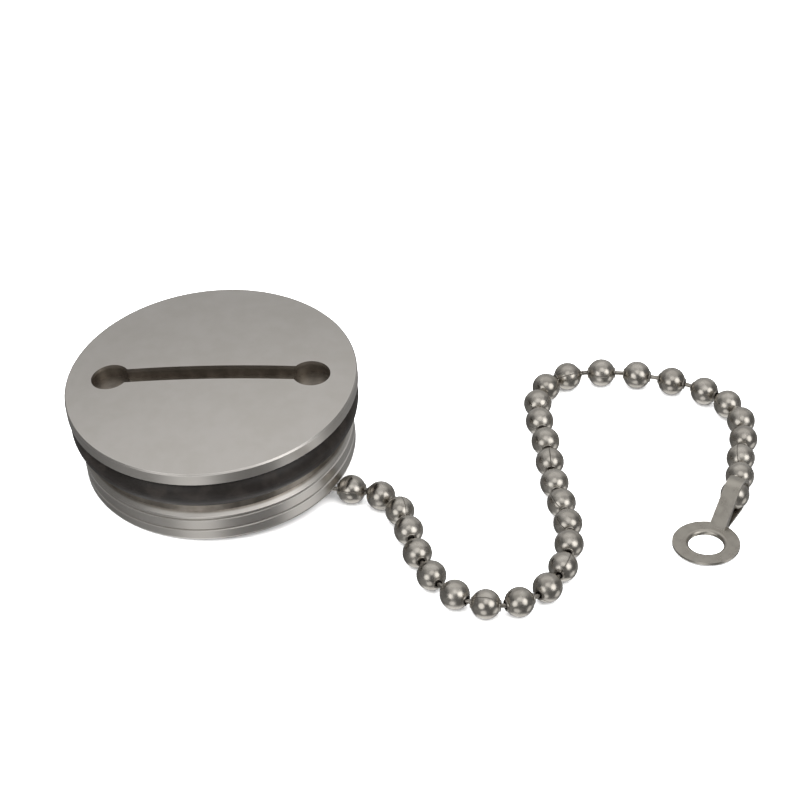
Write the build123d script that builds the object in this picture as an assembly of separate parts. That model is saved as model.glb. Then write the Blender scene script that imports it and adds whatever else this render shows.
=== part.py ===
"""Threaded deck fill cap with an O-ring and a retaining bead chain, lying on a flat surface.

World frame, millimetres: the origin is on the cap's own axis, in the plane of the open end of its skirt.
+Z is up from the surface that the parts lie on, and +X runs from the cap to the far end of the chain. The cap
leans, because its chain passes under the rim. The cap's pieces are drawn upright, with the open end of the
skirt at height 0 and the key slot along X, and are then placed. A terminal is drawn lying flat, its ring at
the origin.

The cap is one piece of turned steel. Its head, skirt and boss are drawn as three solids that meet in the plane
of the hollow's roof.
"""

import os
from math import cos, radians, sin, sqrt

from build123d import *

# The cap, by radius and by height above the open end of its skirt
CAP_R = 24.25
RIM_TOP = 15.3
RIM_BOTTOM = 13.0
CROWN = 1.25
EDGE_BREAK = 0.22
NECK_R = 18.05
LAND_R = 22.0
LAND_BOTTOM = 5.7
LAND_TOP = 6.95
SKIRT_IN_R = 21.65
SKIRT_OUT_R = 22.5
SHOULDER = 4.8
HOLLOW_R = 17.0
ROOF = 11.3

# The thread: wide flat crests with a narrow helical groove between them
THREAD_R = 22.76
THREAD_BOTTOM = 0.45
THREAD_TOP = 5.0
THREAD_PITCH = 2.2
GROOVE_WIDTH = 0.46
GROOVE_DEPTH = 0.38
GROOVE_AT_FRONT = 2.2

# The sockets for a deck key: two blind holes joined by a slot
KEY_HOLE_R = 3.175
KEY_SPACING = 33.54
KEY_SLOT = 3.45
KEY_FLOOR = 13.6
SLOT_FLOOR = 14.3

# The seal, stretched round the neck
RING_SECTION = 5.9
RING_OUT_R = 24.0
RING_GAP = 0.05

# The swivel under the cap: a spigot on the central boss, a washer and a screw
BOSS_R = 5.2
BOSS_END = 6.6
SPIGOT_R = 2.84
SPIGOT_LENGTH = 1.0
WASHER_R = 4.3
WASHER_T = 0.7
SCREW_R = 1.75
SCREW_HOLE_R = 1.8
SCREW_HOLE_DEPTH = 5.5
SCREW_LENGTH = 6.0
SCREW_HEAD_R = 3.3
SCREW_HEAD_H = 2.0
DRIVE_WIDTH = 0.9
DRIVE_DEPTH = 1.0
END_PLAY = 0.1

# The stamped terminals at both ends of the chain
SHEET = 0.4
EYE_R = 2.9
EYE_OUT_R = 5.5
LIP_FOOT_R = 3.3
LIP_R = 3.6
STRAP_WIDTH = 2.7
HOOP_IN_R = 2.5
HOOP_AT = 11.4
NECK_FROM = 4.2
NECK_TO = 5.9
LINK_SLOT = 1.8
SLOT_ARC = (-26, 36)

# The bead chain: hollow beads held by dumbbell links
BEAD_R = 2.4
BEAD_WALL = 0.35
HOLE_R = 0.62
HOLE_AT = 2.2
COLLAR_R = 0.95
COLLAR_REACH = 2.4
LINK_R = 0.38
LINK_HEAD_R = 0.68
LINK_LENGTH = 3.7

# How the cap lies: the lean of its axis, the bearing it leans towards, and the bearing of the key slot
LEAN = 6.35
LEAN_BEARING = 226
SLOT_BEARING = -3.7

# The chain's way from the inner terminal to the outer one, chosen by hand: x, y and the height over the
# surface of the line that the beads' holes lie on. It drops to the surface under the cap, runs round inside
# the skirt, holding up the rim on the way, and leaves under the rim.
TERMINAL_BEARING = 128
ROUTE = [
    (-9.3, 13.8, 4.3),
    (-6.0, 17.7, 3.0),
    (-0.3, 19.3, 2.4),
    (5.4, 19.5, 2.4),
    (10.6, 17.9, 2.4),
    (13.6, 13.6, 2.4),
    (14.0, 7.8, 2.4),
    (12.9, 2.4, 2.4),
    (12.4, -3.0, 2.4),
    (13.5, -8.0, 2.4),
    (17.2, -11.0, 2.4),
    (22.6, -11.2, 2.4),
    (27.3, -13.0, 2.4),
    (30.3, -17.4, 2.4),
    (31.5, -22.8, 2.4),
    (34.7, -33.5, 2.4),
    (38.2, -38.6, 2.4),
    (43.4, -41.3, 2.4),
    (48.8, -40.7, 2.4),
    (53.2, -37.2, 2.4),
    (56.2, -31.0, 2.4),
    (57.3, -20.5, 2.4),
    (55.5, -9.5, 2.4),
    (54.7, 2.0, 2.4),
    (53.6, 12.0, 2.4),
    (55.0, 18.0, 2.4),
    (59.3, 21.8, 2.4),
    (65.4, 22.8, 2.4),
    (77.4, 20.2, 2.4),
    (83.2, 17.0, 2.4),
    (87.1, 12.6, 2.4),
    (88.6, 7.4, 2.4),
    (88.1, 2.0, 2.4),
    (86.4, -7.4, 2.5),
]
LAST_BEAD = (85.0, -13.4)
END_BEARING = 61
# The spacing of the beads: how many, and how far apart. The last bead is at the end of the way.
STRETCHES = [
    (1, 6.35),
    (1, 5.7),
    (8, 5.32),
    (1, 5.45),
    (1, 6.08),
    (1, 5.35),
    (2, 5.35),
    (3, 6.1),
    (2, 5.5),
    (3, 5.95),
    (3, 5.5),
    (3, 5.9),
    (3, 5.35),
    (4, 6.25),
    (5, 5.44),
]

HOOP_OUT_R = HOOP_IN_R + SHEET
SURFACE = -SKIRT_OUT_R * sin(radians(LEAN))


def bearing(angle):
    """The level direction at this angle from +X."""
    return Vector(cos(radians(angle)), sin(radians(angle)), 0)


def squared_to(direction, up):
    """The part of a direction that is square to the cap's axis."""
    return (direction - up * direction.dot(up)).normalized()


def cap_place():
    """The cap's own frame as it lies, with its X along the key slot."""
    up = bearing(LEAN_BEARING) * sin(radians(LEAN)) + Vector(0, 0, cos(radians(LEAN)))
    return Plane(origin=(0, 0, 0), x_dir=squared_to(bearing(SLOT_BEARING), up), z_dir=up)


def inner_terminal_place():
    """The inner terminal's frame: upside down against the boss, its strap leading out to the skirt."""
    up = cap_place().z_dir
    out = squared_to(bearing(TERMINAL_BEARING), up)
    return Plane(origin=up * (BOSS_END - END_PLAY), x_dir=out, z_dir=up * -1)


def outer_terminal_place():
    """The outer terminal's frame: flat on the surface, with the last bead of the chain in its loop."""
    along = bearing(END_BEARING)
    foot = Vector(*LAST_BEAD, SURFACE)
    return Plane(origin=foot - along * HOOP_AT, x_dir=along, z_dir=(0, 0, 1))


def held_bead(place):
    """The centre of the bead in the loop of a terminal lying in this frame."""
    return place.origin + place.x_dir * HOOP_AT + place.z_dir * HOOP_OUT_R


def chain_route():
    """The line that the beads' holes lie on, from the first bead's inner hole to the last's outer hole."""
    inner = inner_terminal_place()
    outer = outer_terminal_place()
    start = [held_bead(inner) + inner.x_dir * (side * HOLE_AT) for side in (-1, 1)]
    way = [Vector(x, y, SURFACE + height) for x, y, height in ROUTE]
    finish = [held_bead(outer) + outer.x_dir * (side * HOLE_AT) for side in (1, -1)]
    return Spline(*start, *way, *finish)


def bead_holes():
    """Where each bead's two holes are, in order along the chain."""
    route = chain_route()
    steps = [pitch for count, pitch in STRETCHES for _ in range(count)]
    places = [HOLE_AT + sum(steps[:number]) for number in range(len(steps) + 1)]
    places.append(route.length - HOLE_AT)
    return [
        [route.position_at(place + side * HOLE_AT, position_mode=PositionMode.LENGTH) for side in (-1, 1)]
        for place in places
    ]


def pointed_along(origin, direction):
    """A frame at this point with its Z in this direction."""
    return Plane(origin=origin, x_dir=squared_to(Vector(0, 0, 1), direction), z_dir=direction)


def head_section():
    """Half of the head's section: the crowned flange and the closed top of the neck."""
    crown_edge = CAP_R - EDGE_BREAK
    crown_r = (crown_edge**2 + CROWN**2) / (2 * CROWN)
    half_way = crown_edge / 2
    half_way_top = RIM_TOP + CROWN - crown_r + sqrt(crown_r**2 - half_way**2)
    centre = (0, RIM_TOP + CROWN)
    outside = [
        (0, ROOF),
        (NECK_R, ROOF),
        (NECK_R, RIM_BOTTOM),
        (crown_edge, RIM_BOTTOM),
        (CAP_R, RIM_BOTTOM + EDGE_BREAK),
        (CAP_R, RIM_TOP - EDGE_BREAK),
        (crown_edge, RIM_TOP),
    ]
    with BuildSketch(Plane.XZ) as section:
        with BuildLine():
            Polyline(*outside)
            ThreePointArc(outside[-1], (half_way, half_way_top), centre)
            Line(centre, outside[0])
        make_face()
    return section.sketch


def skirt_section():
    """Half of the skirt's section, up to the roof of the hollow and without the thread's groove."""
    outline = [
        (SKIRT_IN_R, 0),
        (SKIRT_OUT_R, 0),
        (THREAD_R, THREAD_BOTTOM),
        (THREAD_R, THREAD_TOP),
        (LAND_R, LAND_BOTTOM),
        (LAND_R, LAND_TOP),
        (NECK_R, LAND_TOP),
        (NECK_R, ROOF),
        (HOLLOW_R, ROOF),
        (HOLLOW_R, SHOULDER),
        (SKIRT_IN_R, SHOULDER),
    ]
    with BuildSketch(Plane.XZ) as section:
        with BuildLine():
            Polyline(*outline, close=True)
        make_face()
    return section.sketch


def thread_groove():
    """The helical groove between the thread's crests. It runs out through the bevels at both ends."""
    low = -0.3
    high = THREAD_TOP + 0.45
    proud = 0.3
    floor_r = THREAD_R - GROOVE_DEPTH
    half_width = GROOVE_WIDTH / 2 * (GROOVE_DEPTH + proud) / GROOVE_DEPTH
    with BuildSketch(Plane.XZ) as section:
        with BuildLine():
            Polyline(
                (floor_r, 0),
                (THREAD_R + proud, half_width),
                (THREAD_R + proud, -half_width),
                close=True,
            )
        make_face()
    path = Helix(pitch=THREAD_PITCH, height=high - low, radius=THREAD_R)
    groove = sweep(section.sketch, path=path, is_frenet=True)
    turn_at_front = 360 * (GROOVE_AT_FRONT - low) / THREAD_PITCH
    return Pos(0, 0, low) * Rot(0, 0, -90 - turn_at_front) * groove


def key_sockets():
    """The space that a deck key fills: two round holes and the slot that joins them."""
    top = RIM_TOP + CROWN + 1
    base = (Align.CENTER, Align.CENTER, Align.MIN)
    sockets = Pos(0, 0, SLOT_FLOOR) * Box(KEY_SPACING, KEY_SLOT, top - SLOT_FLOOR, align=base)
    for side in (-1, 1):
        hole = Cylinder(KEY_HOLE_R, top - KEY_FLOOR, align=base)
        sockets += Pos(side * KEY_SPACING / 2, 0, KEY_FLOOR) * hole
    return sockets


def cap_body():
    """The head of the cap: the crowned flange with its key sockets, down to the roof of the hollow."""
    return revolve(head_section(), axis=Axis.Z) - key_sockets()


def cap_skirt():
    """The wall of the cap below the roof: neck, land and threaded skirt. It is in one piece with the head."""
    return revolve(skirt_section(), axis=Axis.Z) - thread_groove()


def swivel_boss():
    """The boss under the middle of the roof, with the spigot that the inner terminal turns on."""
    base = (Align.CENTER, Align.CENTER, Align.MIN)
    boss = Pos(0, 0, BOSS_END) * Cylinder(BOSS_R, ROOF - BOSS_END, align=base)
    boss += Pos(0, 0, BOSS_END - SPIGOT_LENGTH) * Cylinder(SPIGOT_R, 2 * SPIGOT_LENGTH, align=base)
    drilling = Cylinder(SCREW_HOLE_R, SCREW_HOLE_DEPTH, align=base)
    return boss - Pos(0, 0, BOSS_END - SPIGOT_LENGTH) * drilling


def o_ring():
    """The seal, stretched round the neck and seated on the land."""
    section_r = RING_SECTION / 2
    return Pos(0, 0, LAND_TOP + RING_GAP + section_r) * Torus(RING_OUT_R - section_r, section_r)


def swivel_washer():
    """The washer that keeps the inner terminal on its spigot."""
    washer = Cylinder(WASHER_R, WASHER_T, align=(Align.CENTER, Align.CENTER, Align.MAX))
    washer -= Cylinder(SCREW_HOLE_R, 3 * WASHER_T)
    outer_edges = washer.edges().filter_by(GeomType.CIRCLE).group_by(SortBy.RADIUS)[-1]
    return Pos(0, 0, BOSS_END - SPIGOT_LENGTH) * chamfer(outer_edges, 0.12)


def swivel_screw():
    """The pan head screw, with a crossed drive recess."""
    shank = Cylinder(SCREW_R, SCREW_LENGTH, align=(Align.CENTER, Align.CENTER, Align.MIN))
    shank = chamfer(shank.edges().group_by(Axis.Z)[-1], 0.4)
    head = Cylinder(SCREW_HEAD_R, SCREW_HEAD_H, align=(Align.CENTER, Align.CENTER, Align.MAX))
    head = fillet(head.edges().group_by(Axis.Z)[0], 0.45 * SCREW_HEAD_H)
    screw = shank + head
    for turn in (0, 90):
        blade = Box(1.25 * SCREW_HEAD_R, DRIVE_WIDTH, 2 * DRIVE_DEPTH)
        screw -= Pos(0, 0, -SCREW_HEAD_H) * Rot(0, 0, turn) * blade
    return Pos(0, 0, BOSS_END - SPIGOT_LENGTH - WASHER_T) * screw


def eye():
    """A terminal's ring: a flat washer whose hole has a rounded lip turned down."""
    with BuildSketch(Plane.XZ) as section:
        with BuildLine():
            Polyline(
                (LIP_R, 2 * SHEET),
                (EYE_OUT_R, 2 * SHEET),
                (EYE_OUT_R, SHEET),
                (LIP_R, SHEET),
                (LIP_FOOT_R, 0),
                (EYE_R, 0),
                (EYE_R, SHEET),
            )
            bend = LIP_R - EYE_R
            ThreePointArc(
                (EYE_R, SHEET), (EYE_R + 0.29 * bend, SHEET + 0.71 * SHEET), (LIP_R, 2 * SHEET)
            )
        make_face()
    return revolve(section.sketch, axis=Axis.Z)


def strap():
    """A terminal's strap: up from the ring, over the bead, down behind it and back under, as a loop."""
    centre = (HOOP_AT, HOOP_OUT_R)
    outer_neck = Pos((NECK_FROM + NECK_TO) / 2, SHEET) * Rectangle(NECK_TO - NECK_FROM, 2 * SHEET)
    inner_neck = Pos(NECK_TO, SHEET) * Circle(0.06)
    outer = make_hull((outer_neck + Pos(*centre) * Circle(HOOP_OUT_R)).edges())
    inner = make_hull((inner_neck + Pos(*centre) * Circle(HOOP_IN_R)).edges())
    loop = extrude(Plane.XZ * (outer - inner), STRAP_WIDTH / 2, both=True)
    return loop - link_slot()


def link_slot():
    """The slot in the loop's far side that the chain's link passes through."""
    low, high = [radians(angle) for angle in SLOT_ARC]
    reach = 2 * HOOP_OUT_R
    wedge = Polygon(
        (0, 0),
        (reach * cos(low), reach * sin(low)),
        (reach * cos(high), reach * sin(high)),
        align=None,
    )
    return Pos(HOOP_AT, 0, HOOP_OUT_R) * extrude(Plane.XZ * wedge, LINK_SLOT / 2, both=True)


def terminal():
    """A stamped terminal, lying flat with its ring at the origin and its loop towards +X."""
    return eye() + strap()


def bead():
    """A hollow bead with a collared hole at each end, along Z."""
    ball = Sphere(BEAD_R) + Cylinder(COLLAR_R, 2 * COLLAR_REACH)
    ball = chamfer(ball.edges().filter_by(GeomType.CIRCLE).group_by(Axis.Z)[-1], 0.08)
    ball = chamfer(ball.edges().filter_by(GeomType.CIRCLE).group_by(Axis.Z)[0], 0.08)
    ball -= Sphere(BEAD_R - BEAD_WALL)
    return ball - Cylinder(HOLE_R, 3 * BEAD_R)


def link():
    """A dumbbell link along Z: a wire with a rounded head at each end."""
    dumbbell = Cylinder(LINK_R, LINK_LENGTH)
    for side in (-1, 1):
        dumbbell += Pos(0, 0, side * LINK_LENGTH / 2) * Sphere(LINK_HEAD_R)
    return dumbbell


def save(node, *solids):
    """Write one node, with all of its solids."""
    pieces = [solid for shape in solids for solid in shape.solids()]
    export_step(Compound(label=node, children=pieces), f"parts/{node}.step")


def save_cap():
    """The cap's own pieces, and the inner terminal that swivels under it."""
    place = cap_place().location
    save("cap_body", place * cap_body())
    save("cap_skirt", place * cap_skirt())
    save("swivel_boss", place * swivel_boss())
    save("o_ring", place * o_ring())
    save("swivel_washer", place * swivel_washer())
    save("swivel_screw", place * swivel_screw())
    save("inner_terminal", inner_terminal_place().location * terminal())


def save_chain():
    """The beads, each with the link that leads on from it, and the outer terminal."""
    holes = bead_holes()
    one_bead = bead()
    one_link = link()
    for number, (enters, leaves) in enumerate(holes, start=1):
        centre = (enters + leaves) * 0.5
        solids = [pointed_along(centre, (leaves - enters).normalized()).location * one_bead]
        if number < len(holes):
            next_hole = holes[number][0]
            middle = (leaves + next_hole) * 0.5
            solids.append(pointed_along(middle, (next_hole - leaves).normalized()).location * one_link)
        save(f"bead_{number:02d}", *solids)
    save("outer_terminal", outer_terminal_place().location * terminal())


def main():
    """Write every node."""
    os.makedirs("parts", exist_ok=True)
    save_cap()
    save_chain()


main()
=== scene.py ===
"""A steel deck fill cap and its bead chain on a pale surface, in soft studio light."""

import math

import bmesh
import bpy
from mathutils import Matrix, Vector


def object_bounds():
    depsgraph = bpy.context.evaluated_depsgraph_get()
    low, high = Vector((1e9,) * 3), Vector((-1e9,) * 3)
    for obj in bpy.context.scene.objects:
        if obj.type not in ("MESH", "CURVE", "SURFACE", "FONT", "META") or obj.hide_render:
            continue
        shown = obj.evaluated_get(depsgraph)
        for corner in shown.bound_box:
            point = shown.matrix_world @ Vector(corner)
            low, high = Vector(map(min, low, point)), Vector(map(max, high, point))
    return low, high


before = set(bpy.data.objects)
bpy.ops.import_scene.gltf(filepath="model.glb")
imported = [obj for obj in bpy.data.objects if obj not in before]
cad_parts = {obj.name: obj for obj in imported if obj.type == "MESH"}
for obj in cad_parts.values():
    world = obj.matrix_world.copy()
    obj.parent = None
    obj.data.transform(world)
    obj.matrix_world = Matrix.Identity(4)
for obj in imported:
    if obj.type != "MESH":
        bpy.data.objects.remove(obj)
cad_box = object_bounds()

MM = 0.001
LEAN = math.radians(6.35)
LEAN_BEARING = math.radians(226)
VIEW_ELEVATION = math.radians(35)

# The studio: how bright the surround is all round, and its brighter patches.
# A patch has its direction (azimuth, elevation) and half width in degrees, and then its strength.
SURROUND = 0.20
GLOWS = (
    ((90, 38), 50, 0.34),
    ((90, 90), 45, 0.42),
    ((-90, 58), 18, 0.75),
    ((-40, 30), 19, 2.2),
    ((-127, 18), 19, 1.7),
    ((-106, -33), 17, 1.05),
    ((-150, -33), 28, 0.12),
    ((-14, -33), 15, 1.0),
    ((35, -33), 25, 0.12),
    ((-90, -90), 28, 0.95),
)

# The soft box over the parts: its power in watts, its place, its side and the point that it faces
SOFT_BOX = 60.0
SOFT_BOX_PLACE = (0.0, -0.15, 0.85)
SOFT_BOX_SIDE = 2.0
SOFT_BOX_AIM = (0.03, 0, 0)

# The floor's half width, and how far under the parts it lies, so that no faces coincide
FLOOR_HALF = 3.0
FLOOR_GAP = 0.01 * MM

# The camera's place, sensor width and focal length, the last two in millimetres
CAMERA_PLACE = (30.03 * MM, -354.09 * MM, 257.87 * MM)
SENSOR_WIDTH = 36
FOCAL_LENGTH = 117

# The cap, from its own axis and the plane of its skirt's open end: the crown's top and its radius of
# curvature, the sockets' floor and their furthest reach from the axis, and the foot of the land
CROWN_TOP = 16.55 * MM
CROWN_R = 231 * MM
SOCKET_FLOOR = 13.6 * MM
SOCKETS_REACH = 20.1 * MM
LAND_FOOT = 5.5 * MM

# A bead's shell is wider than this each way, and a link isn't. Only the rims of its holes reach so far out.
BEAD_LEAST_WIDTH = 4.5 * MM
RIM_FROM = 2.46 * MM

# How far each bead's seam turns from the last one's, in radians, and how its tone varies, in 8-bit steps
SEAM_TURN = 2.4
TONE_TURN = 1.7
TONE_SPAN = 8

FLOOR = cad_box[0][2]
CAP_AXIS = Vector(
    (
        math.sin(LEAN) * math.cos(LEAN_BEARING),
        math.sin(LEAN) * math.sin(LEAN_BEARING),
        math.cos(LEAN),
    )
)


def linear(red, green, blue):
    """An 8-bit sRGB colour as the linear one that shaders take."""

    def channel(value):
        value /= 255
        if value <= 0.04045:
            return value / 12.92
        return ((value + 0.055) / 1.055) ** 2.4

    return (channel(red), channel(green), channel(blue), 1)


class Shader:
    """A node tree with a Principled shader, and short ways to add the usual nodes."""

    def __init__(self, name):
        self.material = bpy.data.materials.new(name)
        self.material.use_nodes = True
        self.tree = self.material.node_tree
        self.principled = self.tree.nodes["Principled BSDF"]
        coordinates = self.tree.nodes.new("ShaderNodeTexCoord")
        self.place = coordinates.outputs["Object"]

    def link(self, output, target):
        """Feed a value or a socket into an input."""
        if isinstance(output, (int, float)):
            target.default_value = output
        elif isinstance(output, (tuple, list, Vector)):
            target.default_value = tuple(output)
        else:
            self.tree.links.new(output, target)

    def set(self, name, value):
        """Set or feed one of the Principled shader's inputs."""
        self.link(value, self.principled.inputs[name])

    def math(self, operation, *values, clamp=False):
        """A Math node's output."""
        node = self.tree.nodes.new("ShaderNodeMath")
        node.operation = operation
        node.use_clamp = clamp
        for value, target in zip(values, node.inputs):
            self.link(value, target)
        return node.outputs[0]

    def vector(self, operation, first, second=None, scale=None):
        """A Vector Math node's output: the number for a dot product or length, otherwise the vector."""
        node = self.tree.nodes.new("ShaderNodeVectorMath")
        node.operation = operation
        self.link(first, node.inputs[0])
        if second is not None:
            self.link(second, node.inputs[1])
        if scale is not None:
            self.link(scale, node.inputs["Scale"])
        return node.outputs["Value" if operation in ("DOT_PRODUCT", "LENGTH") else "Vector"]

    def noise(self, size, detail=3, place=None, rough=0.55):
        """Noise whose features are about this size, in metres."""
        node = self.tree.nodes.new("ShaderNodeTexNoise")
        node.inputs["Scale"].default_value = 1 / size
        node.inputs["Detail"].default_value = detail
        node.inputs["Roughness"].default_value = rough
        self.link(place or self.place, node.inputs["Vector"])
        return node.outputs["Fac"]

    def ramp(self, value, low, high, start=0.0, end=1.0):
        """A value taken smoothly from the span low to high to the span start to end."""
        node = self.tree.nodes.new("ShaderNodeMapRange")
        node.interpolation_type = "SMOOTHSTEP"
        for item, name in ((low, "From Min"), (high, "From Max"), (start, "To Min"), (end, "To Max")):
            node.inputs[name].default_value = item
        self.link(value, node.inputs["Value"])
        return node.outputs["Result"]

    def mix(self, factor, first, second):
        """One colour mixed into another."""
        node = self.tree.nodes.new("ShaderNodeMix")
        node.data_type = "RGBA"
        self.link(factor, node.inputs[0])
        self.link(first, node.inputs[6])
        self.link(second, node.inputs[7])
        return node.outputs[2]

    def bump(self, height, depth, normal=None):
        """A normal bent by a height from 0 to 1 that stands for this depth, in metres."""
        node = self.tree.nodes.new("ShaderNodeBump")
        node.inputs["Distance"].default_value = depth
        node.inputs["Strength"].default_value = 1.0
        self.link(height, node.inputs["Height"])
        if normal is not None:
            self.link(normal, node.inputs["Normal"])
        return node.outputs["Normal"]

    def edge(self, radius):
        """How near a sharp edge is, from 0 on flat surfaces to 1 on the edge."""
        rounded = self.tree.nodes.new("ShaderNodeBevel")
        rounded.samples = 4
        rounded.inputs["Radius"].default_value = radius
        geometry = self.tree.nodes.new("ShaderNodeNewGeometry")
        agreement = self.vector("DOT_PRODUCT", rounded.outputs["Normal"], geometry.outputs["Normal"])
        return self.ramp(agreement, 0.995, 0.93)


def cap_coordinates(shader):
    """The distance from the cap's axis and the height along it, in metres."""
    height = shader.vector("DOT_PRODUCT", shader.place, CAP_AXIS)
    along = shader.vector("SCALE", tuple(CAP_AXIS), scale=height)
    across = shader.vector("SUBTRACT", shader.place, along)
    return shader.vector("LENGTH", across), height


def turning_marks(shader, size):
    """Fine rings left by the lathe, as noise that only varies with radius and height."""
    radius, height = cap_coordinates(shader)
    join = shader.tree.nodes.new("ShaderNodeCombineXYZ")
    shader.link(radius, join.inputs[0])
    shader.link(height, join.inputs[2])
    return shader.noise(size, detail=2, place=join.outputs[0], rough=0.7)


def socket_region(shader, radius, height):
    """1 on the walls and floors of the sockets and their slot, 0 on the rest of the cap."""
    crown = shader.math("MULTIPLY", shader.math("MULTIPLY", radius, radius), -1 / (2 * CROWN_R))
    below = shader.math("SUBTRACT", shader.math("ADD", crown, CROWN_TOP), height)
    sunk = shader.ramp(below, 0.25 * MM, 1.0 * MM)
    inward = shader.ramp(radius, SOCKETS_REACH, SOCKETS_REACH + 0.4 * MM, 1, 0)
    high = shader.ramp(height, SOCKET_FLOOR - 0.5 * MM, SOCKET_FLOOR - 0.3 * MM)
    return shader.math("MULTIPLY", shader.math("MULTIPLY", sunk, inward), high)


def land_region(shader, height):
    """1 from the foot of the land up to the underside of the flange, 0 above and below."""
    over_foot = shader.ramp(height, LAND_FOOT - 0.2 * MM, LAND_FOOT + 0.1 * MM)
    under_flange = shader.ramp(height, SOCKET_FLOOR - 1 * MM, SOCKET_FLOOR - 0.8 * MM, 1, 0)
    return shader.math("MULTIPLY", over_foot, under_flange)


def cap_steel():
    """Satin steel, turned on a lathe: fine rings, faint tones, painted highlight on the edges, rougher
    sockets, and painted shade in the sockets and on the land.
    """
    shader = Shader("cap_steel")
    rings = turning_marks(shader, 0.22 * MM)
    broad = shader.noise(9 * MM, detail=2)
    grain = shader.noise(0.16 * MM, detail=2)
    smear = shader.noise(2.5 * MM, detail=4)
    edges = shader.edge(0.16 * MM)
    radius, height = cap_coordinates(shader)
    socket = socket_region(shader, radius, height)
    land = land_region(shader, height)

    tone = shader.math("ADD", shader.math("MULTIPLY", broad, 0.5), shader.math("MULTIPLY", smear, 0.5))
    base = shader.mix(shader.ramp(tone, 0.35, 0.65), linear(188, 184, 178), linear(193, 189, 184))
    # Painted highlight: the edges are painted a brighter steel colour.
    base = shader.mix(edges, base, linear(222, 219, 214))
    # Painted shade: a darker colour for the sockets and for the land under the flange, where it also stands
    # for the rubber's dark reflection.
    painted_shade_colour = shader.mix(shader.ramp(smear, 0.3, 0.7), linear(128, 121, 113), linear(150, 143, 134))
    base = shader.mix(land, base, painted_shade_colour)
    shader.set("Base Color", shader.mix(socket, base, painted_shade_colour))

    satin = shader.ramp(tone, 0.3, 0.7, 0.31, 0.33)
    satin = shader.math("SUBTRACT", satin, shader.math("MULTIPLY", edges, 0.08))
    shader.set("Roughness", shader.math("ADD", satin, shader.math("MULTIPLY", socket, 0.12)))
    shader.set("Metallic", 1.0)
    normal = shader.bump(rings, 0.0014 * MM)
    shader.set("Normal", shader.bump(grain, 0.0014 * MM, normal))
    return shader.material


def rubber():
    """Black nitrile rubber with a faint mould bloom and dust in its grain."""
    shader = Shader("seal_rubber")
    bloom = shader.noise(3 * MM, detail=4)
    grain = shader.noise(0.25 * MM, detail=3)
    colour = shader.mix(shader.ramp(bloom, 0.4, 0.7), linear(20, 17, 15), linear(31, 27, 24))
    shader.set("Base Color", colour)
    shader.set("Roughness", shader.ramp(bloom, 0.3, 0.7, 0.36, 0.48))
    shader.set("Specular IOR Level", 0.25)
    shader.set("Normal", shader.bump(grain, 0.012 * MM))
    return shader.material


def stamped_steel(name):
    """Thin stamped sheet: tumbled, slightly scratched, brighter on its sheared edges."""
    shader = Shader(name)
    smear = shader.noise(1.6 * MM, detail=4)
    grain = shader.noise(0.2 * MM, detail=3)
    edges = shader.edge(0.09 * MM)
    base = shader.mix(shader.ramp(smear, 0.35, 0.65), linear(166, 161, 152), linear(176, 171, 162))
    shader.set("Base Color", shader.mix(edges, base, linear(208, 204, 197)))
    shader.set("Roughness", shader.ramp(smear, 0.3, 0.7, 0.26, 0.38))
    shader.set("Metallic", 1.0)
    normal = shader.bump(smear, 0.02 * MM)
    shader.set("Normal", shader.bump(grain, 0.003 * MM, normal))
    return shader.material


def loose_parts(mesh):
    """The mesh's separate shells, each as a list of its points, largest first."""
    grown = bmesh.new()
    grown.from_mesh(mesh)
    bmesh.ops.remove_doubles(grown, verts=grown.verts, dist=0.001 * MM)
    left = set(grown.verts)
    parts = []
    while left:
        stack = [left.pop()]
        part = []
        while stack:
            vert = stack.pop()
            part.append(vert.co.copy())
            for edge in vert.link_edges:
                other = edge.other_vert(vert)
                if other in left:
                    left.remove(other)
                    stack.append(other)
        parts.append(part)
    grown.free()
    return sorted(parts, key=len, reverse=True)


def middle(points):
    """The centre of the points' own box, and its size each way."""
    low = Vector([min(point[axis] for point in points) for axis in range(3)])
    high = Vector([max(point[axis] for point in points) for axis in range(3)])
    return (low + high) / 2, high - low


def bead_frame(mesh):
    """A bead's centre and the direction of its two holes, from its own points."""
    shells = [part for part in loose_parts(mesh) if min(middle(part)[1]) > BEAD_LEAST_WIDTH]
    shell = shells[0]
    centre, _ = middle(shell)
    rims = [point - centre for point in shell if (point - centre).length > RIM_FROM]
    pole = max(rims, key=lambda offset: offset.length)
    near = [offset for offset in rims if offset.dot(pole) > 0]
    far = [offset for offset in rims if offset.dot(pole) < 0]
    axis = sum(near, Vector()) / len(near) - sum(far, Vector()) / len(far)
    return centre, axis.normalized()


def bead_marks(shader, number, centre, axis):
    """A bead's seam along one side, and all its darker places: the seam as a dark joint, and painted shade
    at the mouths and inside.
    """
    turn = number * SEAM_TURN
    first = axis.cross(Vector((0.3, 0.2, 1))).normalized()
    second = axis.cross(first)
    towards_seam = first * math.cos(turn) + second * math.sin(turn)
    beside_seam = axis.cross(towards_seam)

    local = shader.vector("SUBTRACT", shader.place, tuple(centre))
    along = shader.math("ABSOLUTE", shader.vector("DOT_PRODUCT", local, tuple(axis)))
    beside = shader.math("ABSOLUTE", shader.vector("DOT_PRODUCT", local, tuple(beside_seam)))
    facing = shader.ramp(shader.vector("DOT_PRODUCT", local, tuple(towards_seam)), 0, 0.4 * MM)
    line = shader.ramp(beside, 0.03 * MM, 0.10 * MM, 1, 0)
    seam = shader.math("MULTIPLY", line, facing)
    mouth = shader.ramp(along, 2.05 * MM, 2.3 * MM)
    inside = shader.ramp(shader.vector("LENGTH", local), 2.0 * MM, 2.2 * MM, 1, 0)

    # The seam is a dark joint; the mouths and the inside are darkened as painted shade.
    seam_and_painted_shade = shader.math("ADD", shader.math("MULTIPLY", seam, 0.65), shader.math("MULTIPLY", mouth, 0.35))
    seam_and_painted_shade = shader.math("ADD", seam_and_painted_shade, shader.math("MULTIPLY", inside, 0.6), clamp=True)
    return seam, seam_and_painted_shade


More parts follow.
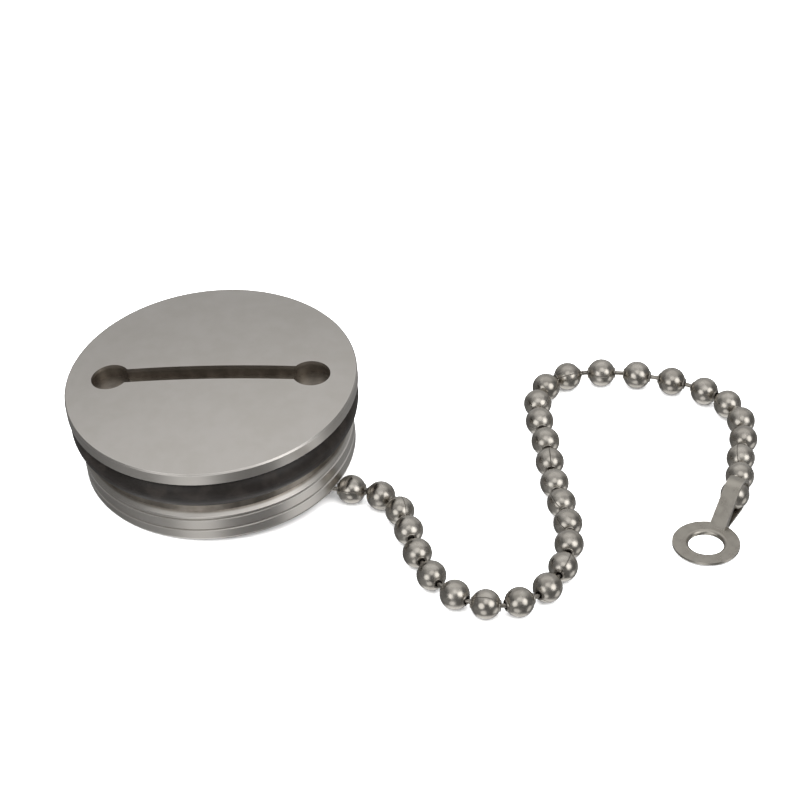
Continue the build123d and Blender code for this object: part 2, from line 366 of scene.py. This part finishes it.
def bead_steel(number, centre, axis):
    """Tumbled sheet steel, rolled to a ball: a dark seam along one side, small dents, and painted shade at
    the mouths and inside.
    """
    shader = Shader(f"bead_steel_{number:02d}")
    seam, seam_and_painted_shade = bead_marks(shader, number, centre, axis)
    smear = shader.noise(1.5 * MM, detail=4)
    dents = shader.noise(1.1 * MM, detail=1)
    grain = shader.noise(0.15 * MM, detail=2)

    shade = (0.5 + 0.5 * math.sin(number * TONE_TURN)) * TONE_SPAN
    low = linear(164 + shade, 159 + shade, 151 + shade)
    high = linear(182 + shade, 177 + shade, 169 + shade)
    base = shader.mix(shader.ramp(smear, 0.35, 0.65), low, high)
    # Mixed into the colour: the seam's dark joint and the painted shade at the mouths and inside.
    shader.set("Base Color", shader.mix(seam_and_painted_shade, base, linear(70, 63, 56)))

    rough = shader.ramp(smear, 0.3, 0.7, 0.20, 0.30)
    shader.set("Roughness", shader.math("ADD", rough, shader.math("MULTIPLY", seam_and_painted_shade, 0.15)))
    shader.set("Metallic", 1.0)
    normal = shader.bump(dents, 0.05 * MM)
    normal = shader.bump(shader.math("SUBTRACT", 1, seam), 0.05 * MM, normal)
    shader.set("Normal", shader.bump(grain, 0.003 * MM, normal))
    return shader.material


def paint(node, material):
    """Put this material in all of a node's slots."""
    mesh_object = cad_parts[node]
    for slot in mesh_object.material_slots:
        slot.material = material


def paint_everything():
    """Every CAD node gets its finish: each bead one of its own, the other nodes by what they are made of."""
    steel = cap_steel()
    stamped = stamped_steel("terminal_steel")
    fitting = stamped_steel("fitting_steel")
    finishes = {
        "cap_body": steel,
        "cap_skirt": steel,
        "swivel_boss": steel,
        "o_ring": rubber(),
        "swivel_screw": fitting,
        "swivel_washer": fitting,
        "inner_terminal": stamped,
        "outer_terminal": stamped,
    }
    for node in sorted(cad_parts):
        if node in finishes:
            paint(node, finishes[node])
            continue
        number = int(node.split("_")[1])
        centre, axis = bead_frame(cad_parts[node].data)
        paint(node, bead_steel(number, centre, axis))


def studio_paper():
    """A pale, matt and even surface."""
    shader = Shader("studio_paper")
    shader.set("Base Color", (0.93, 0.93, 0.93, 1))
    shader.set("Roughness", 0.9)
    shader.set("Specular IOR Level", 0.2)
    return shader.material


def studio_floor():
    """A large pale surface, just under the parts, that the steel doesn't reflect."""
    half = FLOOR_HALF
    mesh = bpy.data.meshes.new("studio_floor")
    level = FLOOR - FLOOR_GAP
    corners = [(-half, -half, level), (half, -half, level), (half, half, level), (-half, half, level)]
    mesh.from_pydata(corners, [], [(0, 1, 2, 3)])
    floor = bpy.data.objects.new("studio_floor", mesh)
    bpy.context.scene.collection.objects.link(floor)
    mesh.materials.append(studio_paper())
    floor.visible_glossy = False


def soft_box():
    """One large square light over the parts, that the steel doesn't reflect."""
    light = bpy.data.lights.new("soft_box_above", "AREA")
    light.shape = "SQUARE"
    light.size = SOFT_BOX_SIDE
    light.energy = SOFT_BOX
    lamp = bpy.data.objects.new("soft_box_above", light)
    bpy.context.scene.collection.objects.link(lamp)
    lamp.location = SOFT_BOX_PLACE
    lamp.visible_glossy = False
    aim = Vector(SOFT_BOX_AIM) - Vector(SOFT_BOX_PLACE)
    lamp.rotation_euler = aim.to_track_quat("-Z", "Y").to_euler()


def add_math(tree, operation, first, second):
    """A Math node in the surround's tree."""
    node = tree.nodes.new("ShaderNodeMath")
    node.operation = operation
    for value, target in zip((first, second), node.inputs):
        if isinstance(value, (int, float)):
            target.default_value = value
        else:
            tree.links.new(value, target)
    return node.outputs[0]


def glow(tree, direction, towards, spread, strength):
    """A soft patch of light in the surround: where it lies, its half width in degrees and its strength."""
    azimuth, elevation = (math.radians(angle) for angle in towards)
    aim = (
        math.cos(elevation) * math.cos(azimuth),
        math.cos(elevation) * math.sin(azimuth),
        math.sin(elevation),
    )
    dot = tree.nodes.new("ShaderNodeVectorMath")
    dot.operation = "DOT_PRODUCT"
    tree.links.new(direction, dot.inputs[0])
    dot.inputs[1].default_value = aim
    fade = tree.nodes.new("ShaderNodeMapRange")
    fade.interpolation_type = "SMOOTHSTEP"
    fade.inputs["From Min"].default_value = math.cos(math.radians(spread * 1.3))
    fade.inputs["From Max"].default_value = math.cos(math.radians(spread * 0.7))
    tree.links.new(dot.outputs["Value"], fade.inputs["Value"])
    return add_math(tree, "MULTIPLY", fade.outputs["Result"], strength)


def surround():
    """The studio's walls: dim all round, with broad soft patches of light."""
    world = bpy.data.worlds.new("studio_surround")
    bpy.context.scene.world = world
    world.use_nodes = True
    tree = world.node_tree
    direction = tree.nodes.new("ShaderNodeTexCoord").outputs["Generated"]
    total = SURROUND
    for towards, spread, strength in GLOWS:
        total = add_math(tree, "ADD", glow(tree, direction, towards, spread, strength), total)
    tree.links.new(total, tree.nodes["Background"].inputs["Strength"])
    tree.nodes["Background"].inputs["Color"].default_value = (1, 1, 1, 1)


def camera():
    """The photograph's viewpoint: 35 degrees above the surface, looking along +Y, across the slot."""
    data = bpy.data.cameras.new("camera")
    data.sensor_width = SENSOR_WIDTH
    data.lens = FOCAL_LENGTH
    data.clip_start = 0.01
    data.clip_end = 20
    eye = bpy.data.objects.new("camera", data)
    bpy.context.scene.collection.objects.link(eye)
    eye.location = CAMERA_PLACE
    eye.rotation_euler = (math.pi / 2 - VIEW_ELEVATION, 0, 0)
    bpy.context.scene.camera = eye


camera()
studio_floor()
surround()
soft_box()
paint_everything()
bpy.context.scene.view_settings.view_transform = "Standard"
